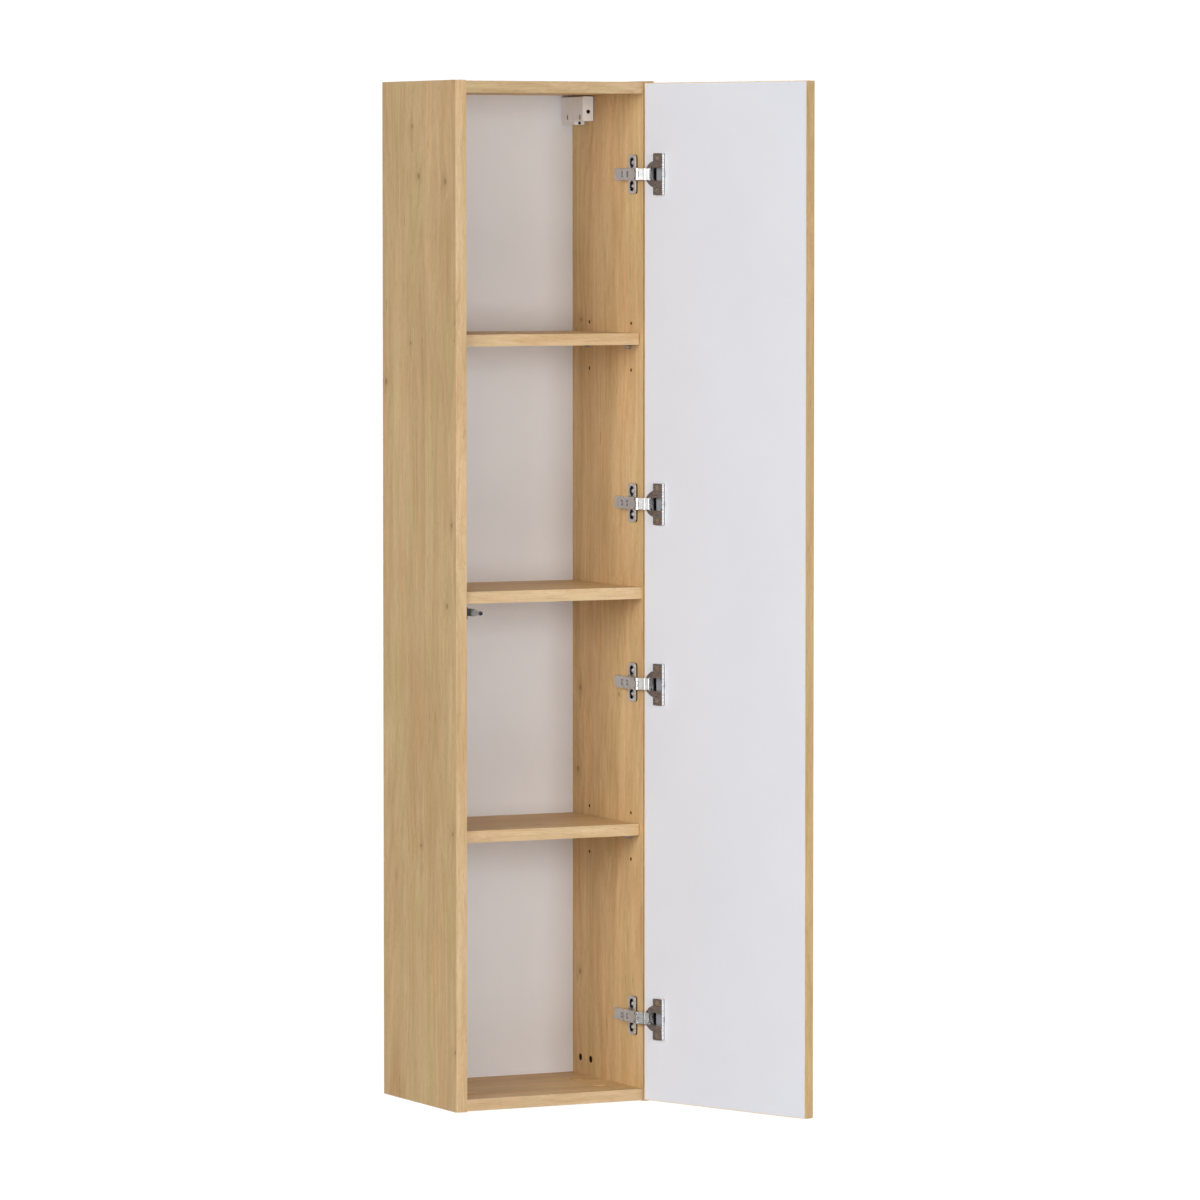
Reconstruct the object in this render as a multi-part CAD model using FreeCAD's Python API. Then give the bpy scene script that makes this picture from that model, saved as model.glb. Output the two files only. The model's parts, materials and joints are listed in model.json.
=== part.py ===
import FreeCAD, Part

import math
import os

# Tall, narrow wall cabinet with one door that hangs on four concealed hinges.
# Millimetres. Everything is laid out in cabinet coordinates: X from the left outer face to the right,
# Y from the front of the carcass into the wall, Z up from the underside.
# Each node is then moved to the cabinet's own frame, whose origin lies on the wall plane, halfway
# across the width, at the height where the hanger hooks bear.

V = FreeCAD.Vector

# Carcass
WIDTH = 300.0
HEIGHT = 1400.0
DEPTH = 234.0
BOARD = 16.0
BAND = 0.8
END_INSET = 1.0
INNER_LEFT = BOARD
INNER_RIGHT = WIDTH - BOARD

# Back panel in its grooves
BACK_FRONT = 217.0
BACK_THICK = 3.0
GROOVE_DEPTH = 7.0
GROOVE_WIDTH = 3.2
BACK_PLAY = 0.2

# Shelves
MIDDLE_SHELF_Z = 692.0
MIDDLE_SETBACK = 4.0
SHELF_RISE = 337.0
SHELF_SETBACK = 10.5
SHELF_SIDE_PLAY = 1.0
SHELF_REAR_PLAY = 1.0
BOARD_MIDLINE = HEIGHT / 2

# Hole system of the side panels
SYSTEM_PITCH = 32.0
PIN_ROW_FRONT = 37.0
PIN_ROW_REAR = 165.0
PIN_HOLE_R = 2.5
PIN_HOLE_DEPTH = 9.0
PIN_R = 2.45
PIN_HEAD_R = 3.0
PIN_HEAD_LENGTH = 8.0
PIN_COLLAR_R = 4.0
PIN_COLLAR_THICK = 0.8
PIN_IN_HOLE = 8.0

# Cam joints, connecting bolts and dowels of the crosswise boards
CAM_DEPTHS = (63.0, 133.0)
DOWEL_DEPTHS = (31.0, 165.0)
CAM_FROM_WALL = 36.0
CAM_R = 7.5
CAM_HEIGHT = 12.5
CAM_SLOT = 7.6
CAM_DRIVE_LENGTH = 9.0
CAM_DRIVE_WIDTH = 1.6
CAM_DRIVE_DEPTH = 2.5
BOLT_R = 2.6
BOLT_HEAD_R = 3.4
BOLT_HEAD_LENGTH = 3.0
BOLT_IN_SIDE = 11.0
DOWEL_R = 4.0
DOWEL_IN_SIDE = 11.0
DOWEL_IN_BOARD = 22.0
CAP_R = 8.5
CAP_THICK = 0.8

# Hangers at the top and their spare holes at the bottom
HANG_Z = 1360.0
SPARE_HANG_Z = HEIGHT - HANG_Z
HANG_DEPTHS = (161.0, 193.0)
HANG_HOLE_R = 5.0
HANG_HOLE_DEPTH = 12.5
HANG_SPIGOT_LENGTH = 12.0
HANGER_WIDE = 17.7
HANGER_OFF_PANEL = 1.2
HANGER_SHOULDER_R = 6.5
HANGER_FRONT = 150.0
HANGER_LOW = 1347.0
HANGER_HIGH = 1381.0
HANGER_ROUND = 1.5
CHANNEL_WALL_GAP = 5.2
CHANNEL_WIDE = 7.6
CHANNEL_FRONT = 160.0
CHANNEL_MARGIN = 3.0
LIP_FRONT = 177.0
LIP_DROP = 5.0
LIP_HOLE_Z = 1344.4
LIP_HOLE_R = 2.2
LIP_HOLE_DEPTH = 8.0
SLOT_DEPTHS = (159.0, 197.5)
SLOT_Z = 1352.5
SLOT_LENGTH = 3.4
SLOT_HIGH = 6.4
SLOT_SUNK = 3.0
ADJUSTER_R = 2.9
ADJUSTER_SUNK = 6.0
ADJUSTER_SHANK_R = 2.0
ADJUSTER_END = 180.0
HOOK_WIDE = 6.0
HOOK_START = 182.0
HOOK_END = 231.5
HOOK_LOW = 1356.0
HOOK_HIGH = 1370.0
HOOK_THROAT_FRONT = 221.0
HOOK_THROAT_REAR = 228.0
HOOK_TIP_LOW = 1351.0
WINDOW_MARGIN = 2.0
WINDOW_LOW = 1348.5
WINDOW_HIGH = 1377.5

# Door, laid out shut in front of the carcass
DOOR_THICK = 16.0
DOOR_GAP = 2.0
DOOR_SIDE_GAP = 1.5
DOOR_END_GAP = 2.5
FACE_THICK = 0.5
OPEN_ANGLE = 109.73
OPEN_CORNER = V(283.0, -6.2, 0)

# Hinges
HINGE_HEIGHTS = (116.0, 576.2, 823.1, 1273.2)
ARM_PIVOT = V(272.0, -4.0, 0)
LINK_SWING_RADIUS = 6.0
CUP_FROM_EDGE = 20.5
CUP_R = 17.4
CUP_WALL = 0.8
CUP_DEPTH = 11.5
CUP_HOLE_R = 17.5
CUP_HOLE_DEPTH = 12.2
FLANGE_R = 18.0
FLANGE_PROUD = 1.5
WING_PROUD = 5.0
WING_NEAR = 20.4
WING_FAR = 37.6
WING_HIGH = 57.0
WING_ROUND = 1.5
CUP_SCREW_FROM_EDGE = 28.5
CUP_SCREW_SPREAD = 45.0
CUP_SCREW_R = 1.9
CUP_SCREW_HEAD_R = 3.6
CUP_SCREW_HEAD_THICK = 1.7
CUP_SCREW_LENGTH = 12.0
CHEEK_FROM_MIDDLE = 8.8
INSERT_NEAR = 20.2
INSERT_SUNK = 5.5
INSERT_STEP_NEAR = 14.0
INSERT_STEP_SUNK = 8.9
INSERT_HALF = 8.6
CUP_PIN_R = 1.0
CUP_PIN_HALF = 10.5
PLATE_FRONT = 17.0
PLATE_REAR = 39.0
PLATE_HIGH = 53.4
PLATE_THICK = 3.4
PLATE_ROUND = 5.0
PLATE_CHAMFER = 0.4
PLATE_POCKET_WIDE = 13.0
PLATE_POCKET_HIGH = 14.4
PLATE_POCKET_DEPTH = 2.2
PLATE_SCREW_Y = 28.0
PLATE_SCREW_R = 2.5
PLATE_SCREW_HEAD_R = 3.1
PLATE_SCREW_TOP_R = 1.5
PLATE_SCREW_HEAD_THICK = 1.8
PLATE_SCREW_LENGTH = 11.0
PLATE_SCREW_HOLE_DEPTH = 12.0
BLOCK_FRONT = 15.0
BLOCK_REAR = 58.0
BLOCK_HIGH = 13.5
ARM_OFF_WALL = 13.0
ARM_FLANGE_OFF_WALL = 7.0
ARM_FRONT = 2.0
ARM_REAR = 60.5
ARM_HIGH = 17.2
ARM_STEP_Y = 33.0
ARM_STEP_HIGH = 15.4
ARM_STEP_PROUD = 0.3
ARM_ROUND = 1.6
ARM_WALL = 1.2
ARM_ROOM = 0.4
ARM_SCREW_DEPTHS = (23.0, 38.0)
ARM_SCREW_R = 2.4
ARM_SCREW_PROUD = 0.3
ARM_SLOT_WIDE = 5.0
ARM_SLOT_HIGH = 7.6
NOSE_HIGH = 8.0
NOSE_THICK = 2.4
NOSE_R = 2.6
NOSE_REACH = 11.0
ARM_PIN_R = 1.2
ARM_PIN_HALF = 8.1
RUNNING = 0.05
LINK_HIGH = 15.6
LINK_THICK = 2.2
LINK_EAR_R = 2.5
LINK_NOTCH_R = 3.2
LINK_NOTCH_HIGH = 8.8
LINK_TONGUE_HIGH = 13.0
LINK_TONGUE_THICK = 2.0
LINK_KNUCKLE_R = 1.9
LINK_CRANK = 5.0
LINK_LEAN = 2.4
LINK_BEAD_R = 1.8
LINK_BEAD_PLACE = 0.62
CROSS_LENGTH = 4.0
CROSS_WIDTH = 0.9
CROSS_DEPTH = 0.9

# Push-to-open latch on the left side panel
LATCH_Z = 679.5
LATCH_OFF_WALL = 14.2
LATCH_HOUSING_R = 5.0
LATCH_HOUSING_FRONT = 2.0
LATCH_HOUSING_REAR = 54.0
LATCH_NOSE_R = 4.0
LATCH_NOSE_LENGTH = 7.0
LATCH_BORE_R = 3.2
LATCH_BORE_REAR = 50.0
PLUNGER_R = 3.12
PLUNGER_REACH = 16.5
PLUNGER_REAR = 24.0
TIP_R = 2.5
TIP_LENGTH = 3.5
TIP_STEM_R = 1.4
TIP_STEM_LENGTH = 4.0
SPRING_R = 2.3
SPRING_WIRE_R = 0.35
SPRING_PITCH = 3.0
SPRING_PLAY = 0.4
ADAPTER_THICK = 3.0
ADAPTER_FRONT = 4.0
ADAPTER_REAR = 48.0
ADAPTER_HIGH = 16.5
SADDLE_FRONT = 10.0
SADDLE_REAR = 46.0
SADDLE_HIGH = 9.0
LATCH_SCREW_Y = 9.5
LATCH_SCREW_SPREAD = 10.6
LATCH_SCREW_R = 1.3
LATCH_SCREW_HEAD_R = 1.9
LATCH_SCREW_HEAD_THICK = 0.8
LATCH_SCREW_LENGTH = 12.0

ORIGIN = V(WIDTH / 2, DEPTH, HANG_Z)


# Helpers

def box(x0, x1, y0, y1, z0, z1):
    return Part.makeBox(x1 - x0, y1 - y0, z1 - z0, V(x0, y0, z0))


def rod_x(x0, x1, y, z, radius):
    return Part.makeCylinder(radius, x1 - x0, V(x0, y, z), V(1, 0, 0))


def rod_y(x, y0, y1, z, radius):
    return Part.makeCylinder(radius, y1 - y0, V(x, y0, z), V(0, 1, 0))


def rod_z(x, y, z0, z1, radius):
    return Part.makeCylinder(radius, z1 - z0, V(x, y, z0), V(0, 0, 1))


def rounded(shape, axis, radius):
    # rounds the box edges that run along one axis
    edges = []
    for edge in shape.Edges:
        direction = edge.tangentAt(edge.FirstParameter)
        if abs(direction.dot(axis)) > 1 - 1e-6:
            edges.append(edge)
    return shape.makeFillet(radius, edges)


def fused(solids):
    shape = solids[0]
    for other in solids[1:]:
        shape = shape.fuse(other)
    return shape.removeSplitter()


def without(shape, cutters):
    return shape.cut(Part.makeCompound(cutters))


def mirrored(shape):
    return shape.mirror(V(WIDTH / 2, 0, 0), V(1, 0, 0))


def both_sides(shapes):
    return shapes + [mirrored(shape) for shape in shapes]


def swung_open(shape):
    # turns a piece of the shut door to where it stands open
    turned = shape.copy()
    turned.rotate(door_pole(), V(0, 0, 1), OPEN_ANGLE)
    return turned


def planar(vector, angle):
    turn = math.radians(angle)
    x = vector.x * math.cos(turn) - vector.y * math.sin(turn)
    y = vector.x * math.sin(turn) + vector.y * math.cos(turn)
    return V(x, y, 0)


def door_pole():
    # the point about which the whole swing from shut to open is one plain rotation
    shut = V(WIDTH - DOOR_SIDE_GAP, -DOOR_GAP, 0)
    move = OPEN_CORNER - shut
    lever = 0.5 / math.tan(math.radians(OPEN_ANGLE / 2))
    return shut + move * 0.5 + V(-move.y, move.x, 0) * lever


def cup_pivot(is_open):
    # pivot of the link in the cup, on the circle about the pole that keeps the link's length
    towards_arm = ARM_PIVOT - door_pole()
    towards_arm.normalize()
    half = OPEN_ANGLE / 2 if is_open else -OPEN_ANGLE / 2
    return door_pole() + planar(towards_arm, half) * LINK_SWING_RADIUS


def pill_x(x0, x1, y, z, wide, high):
    # upright slot shape with round ends, running along X
    radius = wide / 2
    reach = high / 2 - radius
    middle = box(x0, x1, y - radius, y + radius, z - reach, z + reach)
    ends = [rod_x(x0, x1, y, z - reach, radius), rod_x(x0, x1, y, z + reach, radius)]
    return fused([middle] + ends)


def strip(start, end, thick, z, high):
    # flat bar between two points of the plan, centred on them and on a height
    along = end - start
    length = along.Length
    bar = Part.makeBox(length, thick, high, V(0, -thick / 2, -high / 2))
    bar.rotate(V(0, 0, 0), V(0, 0, 1), math.degrees(math.atan2(along.y, along.x)))
    bar.translate(V(start.x, start.y, z))
    return bar


def cross_recess(x, y, z, depth):
    # screwdriver cross cut from a face that looks towards -X
    half = CROSS_LENGTH / 2
    thin = CROSS_WIDTH / 2
    bar_y = box(x, x + depth, y - half, y + half, z - thin, z + thin)
    bar_z = box(x, x + depth, y - thin, y + thin, z - half, z + half)
    return bar_y.fuse(bar_z)


# Carcass boards

def shelf_levels():
    return (BOARD_MIDLINE - SHELF_RISE, BOARD_MIDLINE + SHELF_RISE)


def pin_hole_heights():
    heights = []
    for level in shelf_levels():
        for step in (-1, 0, 1):
            heights.append(level + step * SYSTEM_PITCH)
    return heights


def cross_board_middles():
    # heights of the middle planes of the bottom, middle and top boards
    bottom = END_INSET + BOARD / 2
    return (bottom, MIDDLE_SHELF_Z + BOARD / 2, HEIGHT - bottom)


def side_drillings():
    # holes of the right side panel, drilled from its inner face
    inner = INNER_RIGHT
    holes = []
    for z in pin_hole_heights():
        for y in (PIN_ROW_FRONT, PIN_ROW_REAR):
            holes.append(rod_x(inner, inner + PIN_HOLE_DEPTH, y, z, PIN_HOLE_R))
    for z in (SPARE_HANG_Z, HANG_Z):
        for y in HANG_DEPTHS:
            holes.append(rod_x(inner, inner + HANG_HOLE_DEPTH, y, z, HANG_HOLE_R))
    for z in cross_board_middles():
        for y in CAM_DEPTHS:
            holes.append(rod_x(inner, inner + BOLT_IN_SIDE, y, z, BOLT_R))
        for y in DOWEL_DEPTHS:
            holes.append(rod_x(inner, inner + DOWEL_IN_SIDE, y, z, DOWEL_R))
    return holes


def hinge_drillings():
    holes = []
    half = SYSTEM_PITCH / 2
    for z in HINGE_HEIGHTS:
        for dz in (-half, half):
            end = INNER_RIGHT + PLATE_SCREW_HOLE_DEPTH
            holes.append(rod_x(INNER_RIGHT, end, PLATE_SCREW_Y, z + dz, PLATE_SCREW_R))
    return holes


def side_groove():
    rear = BACK_FRONT + GROOVE_WIDTH
    low = END_INSET + BOARD - GROOVE_DEPTH
    return box(INNER_RIGHT, INNER_RIGHT + GROOVE_DEPTH, BACK_FRONT, rear, low, HEIGHT - low)


def side_panel_right():
    board = box(INNER_RIGHT, WIDTH, BAND, DEPTH, 0, HEIGHT)
    return without(board, side_drillings() + hinge_drillings() + [side_groove()])


def side_panel_left():
    board = box(INNER_RIGHT, WIDTH, BAND, DEPTH, 0, HEIGHT)
    board = mirrored(without(board, side_drillings() + [side_groove()]))
    return without(board, [latch_screw(dz) for dz in latch_screw_offsets()])


def cam_x():
    return INNER_RIGHT - CAM_FROM_WALL


def cam_pocket(y, z_face, direction):
    # round pocket for a cam, from a board's face towards its middle
    return Part.makeCylinder(CAM_R, CAM_HEIGHT, V(cam_x(), y, z_face), V(0, 0, direction))


def board_drillings(middle, direction):
    # holes at the right-hand end of a crosswise board; direction points from the cam face inwards
    face = middle - direction * BOARD / 2
    holes = []
    for y in CAM_DEPTHS:
        holes.append(cam_pocket(y, face, direction))
        holes.append(rod_x(cam_x(), INNER_RIGHT, y, middle, CAM_SLOT / 2))
    for y in DOWEL_DEPTHS:
        holes.append(rod_x(INNER_RIGHT - DOWEL_IN_BOARD, INNER_RIGHT, y, middle, DOWEL_R))
    return holes


def cross_board(middle, front, rear, direction):
    board = box(INNER_LEFT, INNER_RIGHT, front, rear, middle - BOARD / 2, middle + BOARD / 2)
    return without(board, both_sides(board_drillings(middle, direction)))


def end_groove(z0, z1):
    return box(INNER_LEFT, INNER_RIGHT, BACK_FRONT, BACK_FRONT + GROOVE_WIDTH, z0, z1)


def bottom_panel():
    top_face = END_INSET + BOARD
    board = cross_board(END_INSET + BOARD / 2, BAND, DEPTH, -1)
    return without(board, [end_groove(top_face - GROOVE_DEPTH, top_face)])


def top_panel():
    under_face = HEIGHT - END_INSET - BOARD
    board = cross_board(HEIGHT - END_INSET - BOARD / 2, BAND, DEPTH, -1)
    return without(board, [end_groove(under_face, under_face + GROOVE_DEPTH)])


def middle_shelf():
    front = MIDDLE_SETBACK + BAND
    return cross_board(MIDDLE_SHELF_Z + BOARD / 2, front, BACK_FRONT, 1)


def loose_shelf_underside(level):
    return level + PIN_HEAD_R


def loose_shelf(level):
    left = INNER_LEFT + SHELF_SIDE_PLAY
    right = INNER_RIGHT - SHELF_SIDE_PLAY
    z = loose_shelf_underside(level)
    front = SHELF_SETBACK + BAND
    return box(left, right, front, BACK_FRONT - SHELF_REAR_PLAY, z, z + BOARD)


def back_panel():
    reach = GROOVE_DEPTH - BACK_PLAY
    low = END_INSET + BOARD - reach
    rear = BACK_FRONT + BACK_THICK
    sheet = box(INNER_LEFT - reach, INNER_RIGHT + reach, BACK_FRONT, rear, low, HEIGHT - low)
    return without(sheet, both_sides([hook_window()]))


def hook_window():
    middle = hook_x()
    half = HOOK_WIDE / 2 + WINDOW_MARGIN
    rear = BACK_FRONT + BACK_THICK
    return box(middle - half, middle + half, BACK_FRONT, rear, WINDOW_LOW, WINDOW_HIGH)


# Edge bands

def side_bands():
    return both_sides([box(INNER_RIGHT, WIDTH, 0, BAND, 0, HEIGHT)])


def end_bands():
    bands = []
    for middle in (cross_board_middles()[0], cross_board_middles()[2]):
        low = middle - BOARD / 2
        bands.append(box(INNER_LEFT, INNER_RIGHT, 0, BAND, low, low + BOARD))
    return bands


def shelf_bands():
    middle_end = MIDDLE_SETBACK + BAND
    top = MIDDLE_SHELF_Z + BOARD
    bands = [box(INNER_LEFT, INNER_RIGHT, MIDDLE_SETBACK, middle_end, MIDDLE_SHELF_Z, top)]
    left = INNER_LEFT + SHELF_SIDE_PLAY
    right = INNER_RIGHT - SHELF_SIDE_PLAY
    for level in shelf_levels():
        z = loose_shelf_underside(level)
        bands.append(box(left, right, SHELF_SETBACK, SHELF_SETBACK + BAND, z, z + BOARD))
    return bands


# Joining hardware

def cam_lock(y, face, direction):
    middle = face + direction * BOARD / 2
    body = cam_pocket(y, face, direction)
    slot = rod_x(cam_x(), cam_x() + CAM_R, y, middle, CAM_SLOT / 2)
    head_room = rod_x(cam_x() - BOLT_HEAD_LENGTH, cam_x(), y, middle, CAM_SLOT / 2)
    half = CAM_DRIVE_LENGTH / 2
    thin = CAM_DRIVE_WIDTH / 2
    depths = sorted((face, face + direction * CAM_DRIVE_DEPTH))
    drive_x = box(cam_x() - half, cam_x() + half, y - thin, y + thin, depths[0], depths[1])
    drive_y = box(cam_x() - thin, cam_x() + thin, y - half, y + half, depths[0], depths[1])
    return without(body, [slot, head_room, drive_x, drive_y])


def cam_places():
    # depth, face height and inward direction of every cam at the right-hand end
    bottom, middle, top = cross_board_middles()
    half = BOARD / 2
    places = []
    for y in CAM_DEPTHS:
        places.append((y, bottom + half, -1))
        places.append((y, middle - half, 1))
        places.append((y, top + half, -1))
    return places


def cam_locks():
    return both_sides([cam_lock(y, face, turn) for y, face, turn in cam_places()])


def cam_caps():
    caps = []
    for y, face, direction in cam_places():
        caps.append(Part.makeCylinder(CAP_R, CAP_THICK, V(cam_x(), y, face), V(0, 0, -direction)))
    return both_sides(caps)


def cam_bolts():
    bolts = []
    for y, face, direction in cam_places():
        middle = face + direction * BOARD / 2
        head = rod_x(cam_x() - BOLT_HEAD_LENGTH, cam_x(), y, middle, BOLT_HEAD_R)
        shank = rod_x(cam_x(), INNER_RIGHT + BOLT_IN_SIDE, y, middle, BOLT_R)
        bolts.append(head.fuse(shank))
    return both_sides(bolts)


def dowels():
    pegs = []
    for middle in cross_board_middles():
        for y in DOWEL_DEPTHS:
            start = INNER_RIGHT - DOWEL_IN_BOARD
            pegs.append(rod_x(start, INNER_RIGHT + DOWEL_IN_SIDE, y, middle, DOWEL_R))
    return both_sides(pegs)


def shelf_pin(y, level):
    spigot = rod_x(INNER_RIGHT, INNER_RIGHT + PIN_IN_HOLE, y, level, PIN_R)
    collar = rod_x(INNER_RIGHT - PIN_COLLAR_THICK, INNER_RIGHT, y, level, PIN_COLLAR_R)
    head = rod_x(INNER_RIGHT - PIN_HEAD_LENGTH, INNER_RIGHT, y, level, PIN_HEAD_R)
    return fused([spigot, collar, head])


def shelf_pins(level):
    return both_sides([shelf_pin(y, level) for y in (PIN_ROW_FRONT, PIN_ROW_REAR)])


# Hangers

def hanger_left_face():
    return INNER_RIGHT - HANGER_WIDE


def hook_x():
    return INNER_RIGHT - CHANNEL_WALL_GAP - CHANNEL_WIDE / 2


def hanger_channel():
    half = CHANNEL_WIDE / 2
    low = HANGER_LOW + CHANNEL_MARGIN
    high = HANGER_HIGH - CHANNEL_MARGIN
    return box(hook_x() - half, hook_x() + half, CHANNEL_FRONT, BACK_FRONT, low, high)


def hanger_body():
    left = hanger_left_face()
    right = INNER_RIGHT - HANGER_OFF_PANEL
    shell = box(left, right, HANGER_FRONT, BACK_FRONT, HANGER_LOW, HANGER_HIGH)
    shell = rounded(shell, V(0, 1, 0), HANGER_ROUND)
    lip = box(left + 1, right, LIP_FRONT, BACK_FRONT, HANGER_LOW - LIP_DROP, HANGER_LOW + 2)
    spigots = []
    for y in HANG_DEPTHS:
        spigots.append(rod_x(right - 1, INNER_RIGHT, y, HANG_Z, HANGER_SHOULDER_R))
        spigots.append(rod_x(right - 1, INNER_RIGHT + HANG_SPIGOT_LENGTH, y, HANG_Z, HANG_HOLE_R))
    cuts = [hanger_channel()]
    cuts.append(rod_y(hook_x(), HANGER_FRONT, CHANNEL_FRONT, HANG_Z, ADJUSTER_R))
    cuts.append(rod_y(hook_x(), LIP_FRONT, LIP_FRONT + LIP_HOLE_DEPTH, LIP_HOLE_Z, LIP_HOLE_R))
    for y in SLOT_DEPTHS:
        half = SLOT_LENGTH / 2
        thin = SLOT_HIGH / 2
        cuts.append(box(left, left + SLOT_SUNK, y - half, y + half, SLOT_Z - thin, SLOT_Z + thin))
    return without(fused([shell, lip] + spigots), cuts)


def hanger_adjuster():
    start = HANGER_FRONT + ADJUSTER_SUNK
    head = rod_y(hook_x(), start, CHANNEL_FRONT, HANG_Z, ADJUSTER_R)
    shank = rod_y(hook_x(), CHANNEL_FRONT, ADJUSTER_END, HANG_Z, ADJUSTER_SHANK_R)
    half = CROSS_LENGTH / 2
    thin = CROSS_WIDTH / 2
    end = start + CROSS_DEPTH
    bar_x = box(hook_x() - half, hook_x() + half, start, end, HANG_Z - thin, HANG_Z + thin)
    bar_z = box(hook_x() - thin, hook_x() + thin, start, end, HANG_Z - half, HANG_Z + half)
    return without(head.fuse(shank), [bar_x, bar_z])


def hanger_hook():
    half = HOOK_WIDE / 2
    left = hook_x() - half
    right = hook_x() + half
    bar = box(left, right, HOOK_START, HOOK_END, HOOK_LOW, HOOK_HIGH)
    tip = box(left, right, HOOK_THROAT_REAR, HOOK_END, HOOK_TIP_LOW, HOOK_LOW)
    throat = box(left, right, HOOK_THROAT_FRONT, HOOK_THROAT_REAR, HOOK_LOW, HANG_Z)
    return without(fused([bar, tip]), [throat])


# Hinge parts fixed to the right side panel

def plate_wings(z):
    # rounded flat plate with a chamfer round the rim of its outer face
    face = INNER_RIGHT - PLATE_THICK
    half = PLATE_HIGH / 2
    wings = box(face, INNER_RIGHT, PLATE_FRONT, PLATE_REAR, z - half, z + half)
    wings = rounded(wings, V(1, 0, 0), PLATE_ROUND)
    rim = [edge for edge in wings.Edges if edge.BoundBox.XMax < face + RUNNING]
    return wings.makeChamfer(PLATE_CHAMFER, rim)


def mounting_plate(z):
    block_face = INNER_RIGHT - ARM_OFF_WALL + ARM_WALL
    thin = BLOCK_HIGH / 2
    block = box(block_face, INNER_RIGHT, BLOCK_FRONT, BLOCK_REAR, z - thin, z + thin)
    cuts = []
    for dz in plate_screw_offsets():
        cuts.append(plate_pocket(z + dz))
        cuts.append(rod_x(block_face, INNER_RIGHT, PLATE_SCREW_Y, z + dz, PLATE_SCREW_R))
    return without(fused([plate_wings(z), block]), cuts)


def plate_screw_offsets():
    return (-SYSTEM_PITCH / 2, SYSTEM_PITCH / 2)


def plate_pocket(z):
    # elongated pocket in which a screw head sits
    face = INNER_RIGHT - PLATE_THICK
    end = face + PLATE_POCKET_DEPTH
    return pill_x(face, end, PLATE_SCREW_Y, z, PLATE_POCKET_WIDE, PLATE_POCKET_HIGH)


def plate_screw(z):
    seat = INNER_RIGHT - PLATE_THICK + PLATE_POCKET_DEPTH
    top = seat - PLATE_SCREW_HEAD_THICK
    place = V(top, PLATE_SCREW_Y, z)
    head = Part.makeCone(PLATE_SCREW_TOP_R, PLATE_SCREW_HEAD_R, PLATE_SCREW_HEAD_THICK, place, V(1, 0, 0))
    shank = rod_x(seat, INNER_RIGHT + PLATE_SCREW_LENGTH, PLATE_SCREW_Y, z, PLATE_SCREW_R)
    return head.fuse(shank).cut(cross_recess(top, PLATE_SCREW_Y, z, CROSS_DEPTH))


def plate_screws():
    screws = []
    for z in HINGE_HEIGHTS:
        for dz in plate_screw_offsets():
            screws.append(plate_screw(z + dz))
    return screws


def arm_face(y):
    # outer face of the arm, which steps out behind the front half
    outer = INNER_RIGHT - ARM_OFF_WALL
    return outer - ARM_STEP_PROUD if y > ARM_STEP_Y else outer


def arm_screw(y, z):
    top = arm_face(y) - ARM_SCREW_PROUD
    blank = rod_x(top, INNER_RIGHT - ARM_OFF_WALL + ARM_WALL, y, z, ARM_SCREW_R)
    return blank.cut(cross_recess(top, y, z, CROSS_DEPTH))


def arm_screws():
    screws = []
    for z in HINGE_HEIGHTS:
        for y in ARM_SCREW_DEPTHS:
            screws.append(arm_screw(y, z))
    return screws


def arm_nose(z):
    root = V(ARM_PIVOT.x, ARM_FRONT + ARM_ROUND, 0)
    bar = strip(root, ARM_PIVOT, NOSE_THICK, z, NOSE_HIGH)
    half = NOSE_HIGH / 2
    knuckle = rod_z(ARM_PIVOT.x, ARM_PIVOT.y, z - half, z + half, NOSE_R)
    return bar.fuse(knuckle)


def hinge_arm(z):
    outer = INNER_RIGHT - ARM_OFF_WALL
    inner = INNER_RIGHT - ARM_FLANGE_OFF_WALL
    half = ARM_HIGH / 2
    shell = box(outer, inner, ARM_FRONT, ARM_REAR, z - half, z + half)
    shell = rounded(shell, V(0, 1, 0), ARM_ROUND)
    room_half = half - ARM_WALL
    rear = BLOCK_REAR + ARM_ROOM
    front = ARM_FRONT + 2 * ARM_WALL
    room = box(outer + ARM_WALL, inner, front, rear, z - room_half, z + room_half)
    step_half = ARM_STEP_HIGH / 2
    step = box(outer - ARM_STEP_PROUD, outer, ARM_STEP_Y, ARM_REAR, z - step_half, z + step_half)
    cuts = [rod_z(ARM_PIVOT.x, ARM_PIVOT.y, z - half, z + half, ARM_PIN_R)]
    for y in ARM_SCREW_DEPTHS:
        cuts.append(pill_x(arm_face(y), outer + ARM_WALL, y, z, ARM_SLOT_WIDE, ARM_SLOT_HIGH))
    return without(fused([shell.cut(room), step, arm_nose(z)]), cuts)


def arm_pin(z):
    return rod_z(ARM_PIVOT.x, ARM_PIVOT.y, z - ARM_PIN_HALF, z + ARM_PIN_HALF, ARM_PIN_R)


# Links between arms and cups, drawn with the door open

def door_outward():
    return planar(V(0, -1, 0), OPEN_ANGLE)


def link_bend():
    # where the link turns from its flat strip into the tongue that enters the cup
    along_door = planar(V(-1, 0, 0), OPEN_ANGLE)
    return cup_pivot(True) - door_outward() * LINK_CRANK + along_door * LINK_LEAN


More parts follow.
